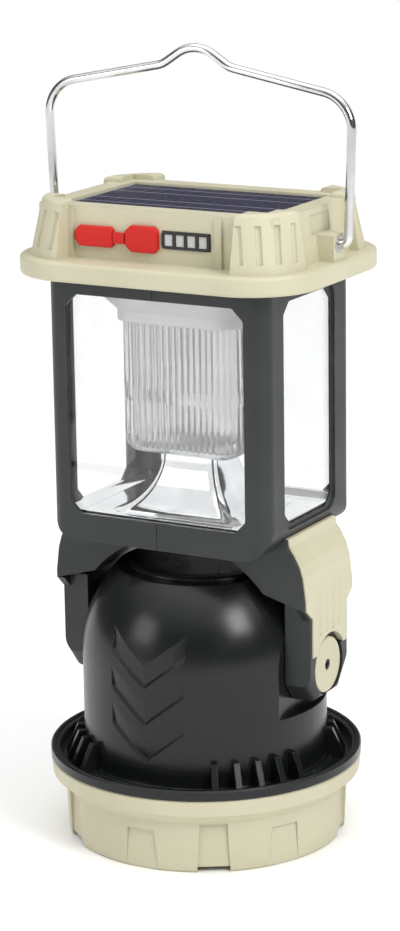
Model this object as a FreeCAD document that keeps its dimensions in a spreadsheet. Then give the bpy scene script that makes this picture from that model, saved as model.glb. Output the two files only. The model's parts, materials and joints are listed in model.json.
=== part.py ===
import FreeCAD, Part
import math
import os
import re

import Sketcher

# Folding solar lantern, millimetres. +Z is up, -Y is the side with the USB cover and +X is to the
# right. The origin is the middle of the bezel's bottom edge, on which the lantern stands.
# The searchlight head stands on its bezel; the lantern body tilts on it about the X axis.

DIMENSIONS = {
    # searchlight head
    "flange_radius": 55.6,
    "flange_bottom": 28.5,
    "flange_top": 32.0,
    "dish_floor": 27.5,
    "dome_radius": 43.4,
    "dome_wall": 2.4,
    "dome_top": 97.6,
    "pivot_height": 66.6,
    "flat_distance": 39.3,
    "flat_bottom": 50.0,
    "hub_radius": 8.0,
    "hub_depth": 9.0,
    "cap_radius": 26.3,
    "cap_height": 2.0,
    "spigot_radius": 20.0,
    "skirt_radius": 48.1,
    "skirt_bottom": 10.6,
    "rib_thickness": 2.2,
    "rib_top": 38.0,
    "rib_crest": 45.8,
    "rib_reach": 50.0,
    "rib_first_angle": 32.6,
    "rib_step_angle": 9.73,
    "chevron_half_width": 14.2,
    "chevron_top": 75.8,
    "chevron_pitch": 13.4,
    "chevron_rise": 11.4,
    "chevron_depth": 0.8,
    "chevron_bevel": 1.3,
    "chevron_band": 6.8,
    "bezel_radius": 49.6,
    "bezel_lip": 55.5,
    "bezel_opening": 44.6,
    "bezel_shoulder": 18.6,
    "notch_phase": 31.6,
    "notch_half_width": 5.7,
    "notch_top": 18.0,
    "notch_sill": 2.0,
    "notch_depth": 0.8,
    "recess_half_width": 6.3,
    "recess_top": 14.6,
    "recess_depth": 0.4,
    "lens_radius": 47.9,
    "lens_seat": 6.0,
    "lens_thickness": 2.4,
    "reflector_top": 42.0,
    "battery_radius": 9.2,
    "battery_length": 65.0,
    # pivot
    "pin_radius": 4.0,
    "pin_clearance": 0.06,
    "pin_inner": 31.0,
    "pin_outer": 46.0,
    "pivot_screw_radius": 1.5,
    "side_gap": 0.3,
    "washer_radius": 9.0,
    "washer_thickness": 1.0,
    # yoke arms
    "arm_outer": 49.0,
    "arm_half_depth": 14.0,
    "arm_step_height": 90.5,
    "shoulder_half_depth": 18.5,
    "yoke_radius": 44.0,
    "arm_face": 49.5,
    "foot_half_depth": 8.5,
    "foot_rise": 62.0,
    "foot_bottom": 55.2,
    "arm_screw_x": 30.0,
    "arm_screw_y": 13.0,
    "ring_radius": 11.7,
    "cap_face": 49.0,
    "cap_seat": 47.1,
    "pivot_cap_radius": 9.9,
    "cover_seat": 1.2,
    "cover_proud": 1.0,
    "cover_half_low": 12.8,
    "cover_half_high": 17.6,
    "cover_bottom": 72.5,
    # lantern body
    "body_half_x": 42.65,
    "body_half_y": 32.62,
    "body_corner": 6.0,
    "body_bottom": 110.0,
    "body_bottom_round": 10.0,
    "body_top": 202.9,
    "body_wall": 2.4,
    "body_screw_x": 37.0,
    "body_screw_y": 27.0,
    "jamb_depth": 1.65,
    "window_bottom": 119.7,
    "window_top": 197.1,
    "window_half_front": 34.5,
    "window_half_side": 17.5,
    "window_corner": 4.2,
    "sleeve_half_x": 41.0,
    "sleeve_half_y": 30.97,
    "sleeve_corner": 4.4,
    "sleeve_wall": 1.5,
    "sleeve_bottom": 117.6,
    "sleeve_top": 199.0,
    "tray_floor": 118.4,
    "tray_skirt_x": 25.0,
    "tray_skirt_y": 24.5,
    "pedestal_top": 139.0,
    "diffuser_half_x": 23.0,
    "diffuser_half_y": 19.0,
    "diffuser_corner": 8.5,
    "diffuser_wall": 2.0,
    "diffuser_bottom": 139.3,
    "ceiling_bottom": 196.8,
    # top cover
    "rim_half_x": 56.1,
    "rim_half_y": 43.2,
    "rim_corner": 23.8,
    "rim_top": 209.6,
    "rim_wall": 2.2,
    "house_half_x_low": 48.6,
    "house_half_x_high": 46.2,
    "house_half_y": 30.5,
    "house_top": 227.4,
    "plate_thickness": 2.0,
    "house_inner_x": 43.2,
    "house_inner_y": 28.6,
    "house_inner_top": 223.6,
    "post_radius": 3.0,
    "screw_hole_radius": 1.25,
    "board_post_x": 32.0,
    "board_post_y": 12.0,
    "cover_screw_x": 46.0,
    "cover_screw_y": 23.5,
    "lug_half_x_low": 52.0,
    "lug_half_y_low": 39.4,
    "lug_half_x_high": 48.8,
    "lug_half_y_high": 35.6,
    "lug_corner": 19.0,
    "lug_top": 229.2,
    "lug_start_x": 33.2,
    "lug_start_y": 19.2,
    "flute_radius": 1.1,
    "panel_half_x": 38.5,
    "panel_half_y": 23.0,
    "panel_seat": 225.0,
    "panel_bottom": 225.6,
    "panel_top": 226.9,
    "port_height": 217.4,
    "port_cover_thickness": 1.85,
    "usb_centre": -22.7,
    "charge_centre": -4.3,
    "indicator_left": 3.1,
    "indicator_right": 21.7,
    "indicator_low": 215.0,
    "indicator_high": 221.0,
    "board_low": 212.9,
    "board_thickness": 1.6,
    "button_radius": 4.95,
    "button_clearance": 0.1,
    "button_spacing": 13.0,
    "button_proud": 1.6,
    # bail handle
    "bail_pivot_height": 215.2,
    "wire_radius": 1.55,
    "wire_clearance": 0.07,
    "bush_radius": 2.4,
    "bail_boss": 54.0,
    "bail_boss_top": 218.6,
    "bail_boss_half": 4.0,
    "bail_half_width": 57.4,
    "bail_lean": 1.8,
    "bail_shoulder": 263.8,
    "bail_crest": 278.5,
    "hump_foot": 13.0,
    "hump_height": 6.0,
}

doc = FreeCAD.newDocument("solar_lantern")
sheet = doc.addObject("Spreadsheet::Sheet", "dims")
for row, (alias, size) in enumerate(DIMENSIONS.items(), start=1):
    sheet.set(f"A{row}", alias)
    sheet.set(f"B{row}", str(size))
    sheet.setAlias(f"B{row}", alias)
probe = doc.addObject("App::FeaturePython", "probe")
probe.addProperty("App::PropertyFloat", "Result")
doc.recompute()

NODES = []
SIDES = {"left": -1, "right": 1}


# ---------------------------------------------------------------- helpers

def expression(text):
    """Point the words of an expression that name a cell at the sheet."""
    def cell(word):
        return f"dims.{word[0]}" if word[0] in DIMENSIONS else word[0]
    return re.sub(r"[A-Za-z_]\w*", cell, str(text))


def number(text):
    """The value of an expression, worked out by the sheet."""
    probe.setExpression("Result", expression(text))
    probe.recompute()
    return float(probe.Result)


def bind(item, **sizes):
    for name, text in sizes.items():
        item.setExpression(name.replace("__", "."), expression(text))
    return item


def place(item, x=0, y=0, z=0):
    return bind(item, Placement__Base__x=x, Placement__Base__y=y, Placement__Base__z=z)


def node(item, name):
    """Name a finished sub-part."""
    item.Label = name
    NODES.append(item)
    return item


def box(name, x, y, z):
    """A box between pairs of expressions along each axis."""
    item = doc.addObject("Part::Box", name)
    bind(item, Length=f"({x[1]}) - ({x[0]})", Width=f"({y[1]}) - ({y[0]})", Height=f"({z[1]}) - ({z[0]})")
    return place(item, x[0], y[0], z[0])


TURNS = {
    "Z": FreeCAD.Rotation(),
    "X": FreeCAD.Rotation(FreeCAD.Vector(0, 1, 0), 90),
    "Y": FreeCAD.Rotation(FreeCAD.Vector(1, 0, 0), -90),
}


def cylinder(name, radius, low, high, axis="Z", centre=(0, 0)):
    """A cylinder along an axis; centre is given in the two other axes, in X, Y, Z order."""
    item = doc.addObject("Part::Cylinder", name)
    bind(item, Radius=radius, Height=f"({high}) - ({low})")
    item.Placement = FreeCAD.Placement(FreeCAD.Vector(), TURNS[axis])
    first, second = centre
    spots = {"X": (low, first, second), "Y": (first, low, second), "Z": (first, second, low)}
    return place(item, *spots[axis])


def fuse(name, items):
    item = doc.addObject("Part::MultiFuse", name)
    item.Shapes = items
    return item


def common(name, items):
    item = doc.addObject("Part::MultiCommon", name)
    item.Shapes = items
    return item


def cut(name, base, tools):
    item = doc.addObject("Part::Cut", name)
    item.Base = base
    item.Tool = tools[0] if len(tools) == 1 else fuse(f"{name}_tools", tools)
    return item


def group(name, items):
    """Identical pieces that share one node, as separate solids."""
    item = doc.addObject("Part::Compound", name)
    item.Links = items
    return item


def fillet(name, base, radius, chosen):
    """Round the edges that chosen(edge) picks."""
    doc.recompute()
    item = doc.addObject("Part::Fillet", name)
    item.Base = base
    size = number(radius)
    item.Edges = [(i, size, size) for i, edge in enumerate(base.Shape.Edges, start=1) if chosen(edge)]
    return item


def bevelled(name, base, size, chosen):
    """Bevel the edges that chosen(edge) picks, and take the sharpness off the bevels' own corners."""
    doc.recompute()
    item = doc.addObject("Part::Chamfer", name)
    item.Base = base
    length = number(size)
    item.Edges = [(i, length, length) for i, edge in enumerate(base.Shape.Edges, start=1) if chosen(edge)]
    return fillet(f"{name}_eased", item, 1.2, chosen)


def runs_along(edge, axis):
    low, high = edge.BoundBox.DiagonalLength, getattr(edge.BoundBox, f"{axis}Length")
    return abs(low - high) < 1e-6 and high > 1e-3


def flat_at(edge, axis, height):
    """True for an edge that lies wholly in a plane across an axis."""
    bounds = edge.BoundBox
    low, high = getattr(bounds, f"{axis}Min"), getattr(bounds, f"{axis}Max")
    return abs(low - height) < 1e-3 and abs(high - height) < 1e-3


def rounded_box(name, half_x, half_y, z, radius):
    """An upright box about the Z axis, with its four upright edges rounded."""
    base = box(f"{name}_block", (f"-({half_x})", half_x), (f"-({half_y})", half_y), z)
    return fillet(name, base, radius, lambda edge: runs_along(edge, "Z"))


def bound_point(sketch, line, x, y):
    """Hold the start of a line at a point that the sheet gives."""
    for kind, text in (("DistanceX", x), ("DistanceY", y)):
        index = sketch.addConstraint(Sketcher.Constraint(kind, -1, 1, line, 1, number(text)))
        sketch.setExpression(f"Constraints[{index}]", expression(text))


def draw_polygon(sketch, points):
    """A closed polygon in a sketch, each corner bound to the sheet."""
    spots = [FreeCAD.Vector(number(x), number(y), 0) for x, y in points]
    count = len(spots)
    for i in range(count):
        sketch.addGeometry(Part.LineSegment(spots[i], spots[(i + 1) % count]))
    for i in range(count):
        sketch.addConstraint(Sketcher.Constraint("Coincident", i, 2, (i + 1) % count, 1))
        bound_point(sketch, i, *points[i])
    return sketch


PLANES = {
    "XY": (FreeCAD.Rotation(), FreeCAD.Vector(0, 0, 1)),
    "XZ": (FreeCAD.Rotation(FreeCAD.Vector(1, 0, 0), 90), FreeCAD.Vector(0, 1, 0)),
    "YZ": (FreeCAD.Rotation(FreeCAD.Vector(1, 1, 1), 120), FreeCAD.Vector(1, 0, 0)),
}


def prism(name, plane, points, low, high):
    """A polygon drawn in a plane and extruded between two stations across it."""
    turn, along = PLANES[plane]
    sketch = doc.addObject("Sketcher::SketchObject", f"{name}_sketch")
    sketch.Placement = FreeCAD.Placement(FreeCAD.Vector(), turn)
    draw_polygon(sketch, points)
    place(sketch, *(low if part else 0 for part in along))
    item = doc.addObject("Part::Extrusion", name)
    item.Base = sketch
    item.DirMode = "Custom"
    item.Dir = along
    item.Solid = True
    return bind(item, LengthFwd=f"({high}) - ({low})")


def origin_plane(body, role):
    return next(item for item in body.Origin.OriginFeatures if item.Role == role)


def new_sketch(body, name, role, offset=0, turn=0):
    """A sketch on one of the body's own origin planes, moved along its normal and turned about Z."""
    sketch = body.newObject("Sketcher::SketchObject", name)
    sketch.AttachmentSupport = [(origin_plane(body, role), "")]
    sketch.MapMode = "FlatFace"
    angle = math.radians(turn)
    reach = number(offset)
    shift = FreeCAD.Vector(reach * math.sin(angle), 0, reach * math.cos(angle))
    sketch.AttachmentOffset = FreeCAD.Placement(shift, FreeCAD.Rotation(FreeCAD.Vector(0, 1, 0), turn))
    return sketch


def revolved(name, points):
    """A PartDesign body turned about the Z axis from a profile of (radius, height) points."""
    body = doc.addObject("PartDesign::Body", name)
    sketch = new_sketch(body, f"{name}_profile", "XZ_Plane")
    draw_polygon(sketch, points)
    feature = body.newObject("PartDesign::Revolution", f"{name}_turning")
    feature.Profile = sketch
    feature.ReferenceAxis = (sketch, ["V_Axis"])
    feature.Angle = 360
    return body


def side_pocket(body, name, points, offset, turn):
    """Cut outwards from a flat across the body's side, turned about the Z axis."""
    sketch = new_sketch(body, f"{name}_outline", "XZ_Plane", offset, turn)
    draw_polygon(sketch, points)
    doc.recompute()
    before = body.Shape.Volume
    pocket = body.newObject("PartDesign::Pocket", name)
    pocket.Profile = sketch
    pocket.Reversed = True
    pocket.Length = 12
    doc.recompute()
    if body.Shape.Volume > before - 0.5:
        raise RuntimeError(f"{name} cuts nothing")
    body.Tip = pocket


def rounded_rectangle(name, half_x, half_y, radius, height):
    """A sketch of a rounded rectangle about the Z axis, at a height."""
    sketch = doc.addObject("Sketcher::SketchObject", name)
    place(sketch, 0, 0, height)
    a, b, r = number(half_x), number(half_y), number(radius)
    corners = [(a, b, 0), (-a, b, 90), (-a, -b, 180), (a, -b, 270)]
    for x, y, start in corners:
        centre = FreeCAD.Vector(x - math.copysign(r, x), y - math.copysign(r, y), 0)
        circle = Part.Circle(centre, FreeCAD.Vector(0, 0, 1), r)
        sketch.addGeometry(Part.ArcOfCircle(circle, math.radians(start), math.radians(start + 90)))
    for i in range(4):
        start = sketch.getPoint(i, 2)
        end = sketch.getPoint((i + 1) % 4, 1)
        sketch.addGeometry(Part.LineSegment(start, end))
    for i in range(4):
        line = 4 + i
        sketch.addConstraint(Sketcher.Constraint("Tangent", i, 2, line, 1))
        sketch.addConstraint(Sketcher.Constraint("Tangent", line, 2, (i + 1) % 4, 1))
        sketch.addConstraint(Sketcher.Constraint("Horizontal" if i % 2 == 0 else "Vertical", line))
        if i:
            sketch.addConstraint(Sketcher.Constraint("Equal", 0, i))
    index = sketch.addConstraint(Sketcher.Constraint("Radius", 0, r))
    sketch.setExpression(f"Constraints[{index}]", expression(radius))
    for line, kind, text in ((4, "DistanceY", half_y), (6, "DistanceY", f"-({half_y})"),
                             (5, "DistanceX", f"-({half_x})"), (7, "DistanceX", half_x)):
        index = sketch.addConstraint(Sketcher.Constraint(kind, -1, 1, line, 1, number(text)))
        sketch.setExpression(f"Constraints[{index}]", expression(text))
    return sketch


def loft(name, sections, ruled=True):
    """A solid through rounded rectangles given as (half_x, half_y, radius, height)."""
    item = doc.addObject("Part::Loft", name)
    item.Sections = [rounded_rectangle(f"{name}_section_{i}", *section) for i, section in enumerate(sections)]
    item.Solid = True
    item.Ruled = ruled
    return item


def rod_between(name, radius, low, high):
    """A cylinder from one point to another, with its radius bound to the sheet."""
    start, end = FreeCAD.Vector(*low), FreeCAD.Vector(*high)
    item = doc.addObject("Part::Cylinder", name)
    bind(item, Radius=radius)
    item.Height = (end - start).Length
    item.Placement = FreeCAD.Placement(start, FreeCAD.Rotation(FreeCAD.Vector(0, 0, 1), end - start))
    return item


def polar(radius, azimuth):
    """A point at an azimuth counted from -Y towards +X."""
    angle = math.radians(azimuth)
    return radius * math.sin(angle), -radius * math.cos(angle)


def sorted_span(sign, near, far):
    """A pair of expressions from low to high on one side of the middle."""
    return (near, far) if sign > 0 else (f"-({far})", f"-({near})")


def four_spots(x, y):
    """The corners of a rectangle about the middle."""
    return [(f"{sx} * {x}", f"{sy} * {y}") for sx in (-1, 1) for sy in (-1, 1)]


def screw(name, head_radius, head, shank_radius, tip, centre, axis="Z"):
    """A pan-head screw: head is the pair of stations of its head, and tip is the shank's far end."""
    low, high = sorted((number(head[0]), number(tip)))
    shank = cylinder(f"{name}_shank", shank_radius, low, high, axis, centre)
    cap = cylinder(f"{name}_head", head_radius, head[0], head[1], axis, centre)
    return fuse(name, [cap, shank])


# ---------------------------------------------------------------- searchlight head

def gusset_rib_blanks():
    """Four groups of five gusset ribs between the dome and the flange."""
    profile = [("dome_radius - 1.2", "dish_floor - 0.5"), ("rib_reach", "dish_floor - 0.5"),
               ("rib_reach", "dish_floor + 1.6"), ("rib_crest", "rib_top"), ("dome_radius - 1.2", "rib_top")]
    ribs = []
    for quarter in range(4):
        for step in range(5):
            angle = number(f"rib_first_angle + {step} * rib_step_angle")
            azimuth = (angle, -angle, 180 - angle, 180 + angle)[quarter]
            rib = prism(f"rib_{quarter}_{step}", "XZ", profile, "-rib_thickness / 2", "rib_thickness / 2")
            turned = group(f"rib_{quarter}_{step}_turned", [rib])
            turned.Placement = FreeCAD.Placement(
                FreeCAD.Vector(), FreeCAD.Rotation(FreeCAD.Vector(0, 0, 1), azimuth - 90))
            ribs.append(turned)
    return ribs


def dome_blank(name, radius, low):
    """The dome: a cylinder up to the pivot and a truncated hemisphere about it."""
    wall = cylinder(f"{name}_wall", radius, low, "pivot_height")
    crown = doc.addObject("Part::Sphere", f"{name}_crown")
    bind(crown, Radius=radius)
    crown.Angle1 = 0
    crown.Angle2 = math.degrees(math.asin((number("dome_top") - number("pivot_height")) / number(radius)))
    place(crown, 0, 0, "pivot_height")
    return fuse(name, [wall, crown])


def dome_front(x, z):
    """How far the dome's surface stands in front of the middle at a point of its elevation."""
    above = max(0.0, z - number("pivot_height"))
    return math.sqrt(number("dome_radius") ** 2 - x ** 2 - above ** 2)


def chevron_cutter(index, corner_height):
    """A V-shaped recess that fades out upwards and ends in a bevel along its lower edge."""
    half, rise = number("chevron_half_width"), number("chevron_rise")
    depth, bevel, band = number("chevron_depth"), number("chevron_bevel"), number("chevron_band")
    outside = 2.0
    wires = []
    for step in range(-4, 5):
        x = half * step / 4
        low = corner_height - rise * (1 - abs(step) / 4)
        high = low + band
        floor, edge = dome_front(x, low) - depth, dome_front(x, high) + 0.02
        bevel_end = low - bevel * (depth + outside) / depth
        section = [(floor + depth + outside, bevel_end), (floor, low), (edge, high), (edge + outside, high)]
        corners = [FreeCAD.Vector(x, -reach, z) for reach, z in section]
        wires.append(Part.makePolygon(corners + corners[:1]))
    cutter = doc.addObject("Part::Feature", f"chevron_{index}")
    cutter.Shape = Part.makeLoft(wires, True, True)
    return cutter


def make_head_housing():
    flange = revolved("flange_ring", [
        ("dome_radius - 2", "dish_floor - 2"), ("skirt_radius - 2.3", "dish_floor - 2"),
        ("skirt_radius - 2.3", "skirt_bottom"), ("skirt_radius", "skirt_bottom"),
        ("skirt_radius", "dish_floor - 2.5"), ("flange_radius - 2.6", "dish_floor - 2.5"),
        ("flange_radius - 2.6", "flange_bottom"), ("flange_radius", "flange_bottom"),
        ("flange_radius", "flange_top - 0.6"), ("flange_radius - 0.5", "flange_top"),
        ("flange_radius - 1.7", "flange_top"), ("flange_radius - 1.9", "flange_top - 0.7"),
        ("flange_radius - 3.1", "flange_top - 0.9"), ("flange_radius - 3.5", "flange_top - 1.4"),
        ("flange_radius - 3.5", "dish_floor"), ("rib_crest + 0.2", "dish_floor"),
        ("rib_crest - 0.2", "dish_floor + 0.8"), ("dome_radius - 2", "dish_floor + 0.8")])
    dome = dome_blank("dome", "dome_radius", "dish_floor - 2")
    flats = [box(f"{side}_flat", sorted_span(sign, "flat_distance", "dome_radius + 5"), (-30, 30),
                 ("flat_bottom", 110)) for side, sign in SIDES.items()]
    chevrons = [chevron_cutter(i, number(f"chevron_top - {i} * chevron_pitch")) for i in range(3)]
    outer = cut("head_outer", fuse("head_blank", [flange, dome]), flats + chevrons)
    inner = dome_blank("dome_inside", "dome_radius - dome_wall", "dish_floor - 5")
    limit = box("cavity_limit", ("dome_wall - flat_distance", "flat_distance - dome_wall"), (-60, 60),
                ("flat_bottom - dome_wall", "dome_top - dome_wall"))
    narrow = common("cavity_high", [inner, limit])
    low = cylinder("cavity_low", "dome_radius - dome_wall", "dish_floor - 5", "flat_bottom - dome_wall")
    spigot_hole = cylinder("spigot_hole", "spigot_radius + 0.1", "dome_top - dome_wall - 5", "dome_top + 5")
    hub_span = ("flat_distance - hub_depth", "flat_distance - 1")
    hubs = [cylinder(f"{side}_hub", "hub_radius", *sorted_span(sign, *hub_span), "X", (0, "pivot_height"))
            for side, sign in SIDES.items()]
    bore = cylinder("pivot_bore", "pin_radius", "-dome_radius", "dome_radius", "X", (0, "pivot_height"))
    shell = cut("head_shell", outer, [narrow, low, spigot_hole])
    housing = cut("housing_bored", fuse("housing_solid", [shell] + hubs), [bore])
    node(housing, "head_housing")
    ribs = [cut(f"rib_{i}_trimmed", rib, [flange, dome]) for i, rib in enumerate(gusset_rib_blanks())]
    node(group("rib_set", ribs), "gusset_ribs")


def make_head_cap():
    cap = revolved("cap_disc", [
        (0, "dome_top - dome_wall"), ("spigot_radius", "dome_top - dome_wall"), ("spigot_radius", "dome_top"),
        ("cap_radius", "dome_top"), ("cap_radius", "dome_top + 0.9"), ("cap_radius - 0.9", "dome_top + 1.8"),
        ("cap_radius - 4", "dome_top + cap_height"), (0, "dome_top + cap_height")])
    node(cap, "head_top_cap")


def make_bezel():
    bezel = revolved("bezel_body", [
        ("bezel_radius - 3.2", 0), ("bezel_radius - 0.7", 0), ("bezel_radius", 0.7),
        ("bezel_radius + 0.9", "bezel_shoulder"), ("bezel_lip - 0.5", "bezel_shoulder + 4"),
        ("bezel_lip", 27.6), ("bezel_lip - 0.5", 28.3), ("bezel_lip - 2.4", 28.3),
        ("bezel_lip - 2.4", "bezel_shoulder + 6"), ("skirt_radius + 0.2", "bezel_shoulder + 0.6"),
        ("skirt_radius + 0.2", "lens_seat"), ("bezel_opening", "lens_seat"),
        ("bezel_opening", "lens_seat - 2.2")])
    wide, narrow = "notch_half_width", "notch_half_width - 0.9"
    notch = [(f"-{wide}", -1), (wide, -1), (narrow, "notch_top"), (f"-({narrow})", "notch_top")]
    gap = [(f"-{wide}", -1), (wide, -1), (wide, "notch_sill"), (f"-{wide}", "notch_sill")]
    for i in range(5):
        turn = number("notch_phase") + 72 * i
        side_pocket(bezel, f"notch_{i}", notch, "bezel_radius - notch_depth", turn)
        side_pocket(bezel, f"notch_gap_{i}", gap, "bezel_radius - 6", turn)
    wide, narrow = "recess_half_width", "recess_half_width - 1.2"
    recess = [(f"-{wide}", -1), (wide, -1), (narrow, "recess_top"), (f"-({narrow})", "recess_top")]
    for i, shift in enumerate((-108, -30, 30, 108, 180)):
        side_pocket(bezel, f"recess_{i}", recess, "bezel_radius - recess_depth", number("notch_phase") + shift)
    node(bezel, "bezel_ring")


def make_searchlight():
    seat_top = "(lens_seat + lens_thickness)"
    lens = revolved("lens_disc", [
        (0, "lens_seat"), ("lens_radius", "lens_seat"), ("lens_radius", seat_top), (0, seat_top)])
    node(lens, "searchlight_lens")
    seal = revolved("seal_ring", [
        ("skirt_radius - 2.5", seat_top), ("lens_radius", seat_top), ("lens_radius", "skirt_bottom"),
        ("skirt_radius - 2.5", "skirt_bottom")])
    node(seal, "lens_seal")
    dish = [("skirt_radius - 2.6", seat_top), ("skirt_radius - 2.6", f"{seat_top} + 1.2")]
    outer, inner = [], []
    for step in range(9):
        part = step / 8
        radius = f"5.5 + (skirt_radius - 9.1) * {math.sqrt(1 - part):.4f}"
        height = f"{seat_top} + 1.2 + (reflector_top - {seat_top} - 1.2) * {part:.4f}"
        outer.append((radius, height))
        inner.insert(0, (f"{radius} - 1.2", height))
    dish += outer + inner + [("skirt_radius - 4.8", seat_top)]
    node(revolved("reflector_dish", dish), "searchlight_reflector")
    board = cylinder("board_disc", 20, "reflector_top", "reflector_top + 1.6")
    chip = rounded_box("led_chip", 3.4, 3.4, ("reflector_top - 1.4", "reflector_top"), 0.8)
    sink = cylinder("sink_disc", 22, "reflector_top + 1.6", "reflector_top + 4.6")
    fins = [box(f"sink_fin_{i}", (f"{x} - 0.8", f"{x} + 0.8"), (-12, 12),
                ("reflector_top + 4.4", "reflector_top + 9.4")) for i, x in enumerate(range(-15, 16, 5))]
    spots = [polar(17.5, angle) for angle in (0, 120, 240)]
    holes = {name: [cylinder(f"{name}_hole_{i}", "screw_hole_radius", "reflector_top - 5",
                             "reflector_top + 4.6", "Z", spot) for i, spot in enumerate(spots)]
             for name in ("board", "sink")}
    node(cut("led_board_drilled", fuse("led_board", [board, chip]), holes["board"]), "searchlight_led_board")
    node(cut("sink_drilled", fuse("sink_solid", [sink] + fins), holes["sink"]), "heat_sink")
    screws = [screw(f"sink_screw_{i}", 2.2, ("reflector_top - 1.5", "reflector_top"), "screw_hole_radius",
                    "reflector_top + 4.6", spot) for i, spot in enumerate(spots)]
    node(group("sink_screws", screws), "heat_sink_screws")


def make_battery():
    """Two round cells side by side along Y, in a cradle hung from the pivot hubs."""
    centres = ("-battery_radius - 0.2", "battery_radius + 0.2")
    height = "pivot_height + 1"
    end = "battery_length / 2"
    cells = [cylinder(f"cell_{i}", "battery_radius", f"-{end}", end, "Y", (x, height))
             for i, x in enumerate(centres)]
    tips = [cylinder(f"cell_tip_{i}", 2.8, f"-{end} - 0.8", f"-{end}", "Y", (x, height))
            for i, x in enumerate(centres)]
    pairs = [fuse(f"battery_cell_{i}", [cells[i], tips[i]]) for i in range(2)]
    cradle = box("cradle_block", (-24, 24), (-26, 26), ("pivot_height - 11.5", "pivot_height - 2"))
    beds = [cylinder(f"cell_bed_{i}", "battery_radius + 0.1", -40, 40, "Y", (x, height))
            for i, x in enumerate(centres)]
    node(cut("cradle", cradle, beds), "battery_holder")
    node(group("cells", pairs), "battery_cells")


def make_pivot():
    """Hollow pins pressed in the head's hubs, their washers and the screws in their ends."""
    middle = (0, "pivot_height")
    pins, washers, screws = [], [], []
    for side, sign in SIDES.items():
        span = sorted_span(sign, "pin_inner", "pin_outer")
        solid = cylinder(f"{side}_pin_solid", "pin_radius", *span, "X", middle)
        hole = cylinder(f"{side}_pin_hole", "pivot_screw_radius", *sorted_span(sign, 20, 60), "X", middle)
        pins.append(cut(f"{side}_pin", solid, [hole]))
        disc = cylinder(f"{side}_washer_disc", "washer_radius",
                        *sorted_span(sign, "flat_distance", "flat_distance + washer_thickness"), "X", middle)
        eye = cylinder(f"{side}_washer_eye", "pin_radius", *sorted_span(sign, 30, 60), "X", middle)
        washers.append(cut(f"{side}_washer", disc, [eye]))
        shank = cylinder(f"{side}_pivot_shank", "pivot_screw_radius",
                         *sorted_span(sign, "pin_inner + 1", "cap_face - 0.4"), "X", middle)
        head = cylinder(f"{side}_pivot_head", "pivot_screw_radius + 0.45",
                        *sorted_span(sign, "pin_outer", "cap_face - 0.4"), "X", middle)
        slots = [box(f"{side}_slot_{i}", sorted_span(sign, "cap_face - 1.1", "cap_face + 1"), y, z)
                 for i, (y, z) in enumerate((((-1.4, 1.4), ("pivot_height - 0.3", "pivot_height + 0.3")),
                                             ((-0.3, 0.3), ("pivot_height - 1.4", "pivot_height + 1.4"))))]
        screws.append(cut(f"{side}_pivot_screw", fuse(f"{side}_pivot_screw_blank", [shank, head]), slots))
    node(group("pins", pins), "pivot_pins")
    node(group("washers", washers), "friction_washers")
    node(group("pivot_screw_pair", screws), "pivot_screws")


# ---------------------------------------------------------------- yoke arms

def arm_contour(margin):
    """The outer edge of an arm in the XZ plane, from its step up to the body, pushed out by a margin."""
    inward = ((0, "arm_step_height"), (0, 93.5), (1.1, 102.0), (2.3, 106.0), (4.2, 109.6), (6.2, 112.4))
    return [(f"arm_outer - {x} + ({margin})", z) for x, z in inward]


def mirrored(points, sign):
    return [(x if sign > 0 else f"-({x})", z) for x, z in points]


def body_envelope(name, shrink):
    """The body's outer block: upright edges and the lower edges along Y rounded."""
    half_x, half_y = f"body_half_x - {shrink}", f"body_half_y - {shrink}"
    block = box(f"{name}_block", (f"-({half_x})", half_x), (f"-({half_y})", half_y),
                (f"body_bottom + {shrink}", "body_top"))
    low = number(f"body_bottom + {shrink}")
    soft = fillet(f"{name}_soles", block, f"body_bottom_round - {shrink}",
                  lambda edge: runs_along(edge, "Y") and flat_at(edge, "Z", low))
    upright = rounded_box(f"{name}_posts", half_x, half_y, (f"body_bottom + {shrink}", "body_top"),
                          f"body_corner - {shrink}")
    return common(name, [soft, upright])


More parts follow.
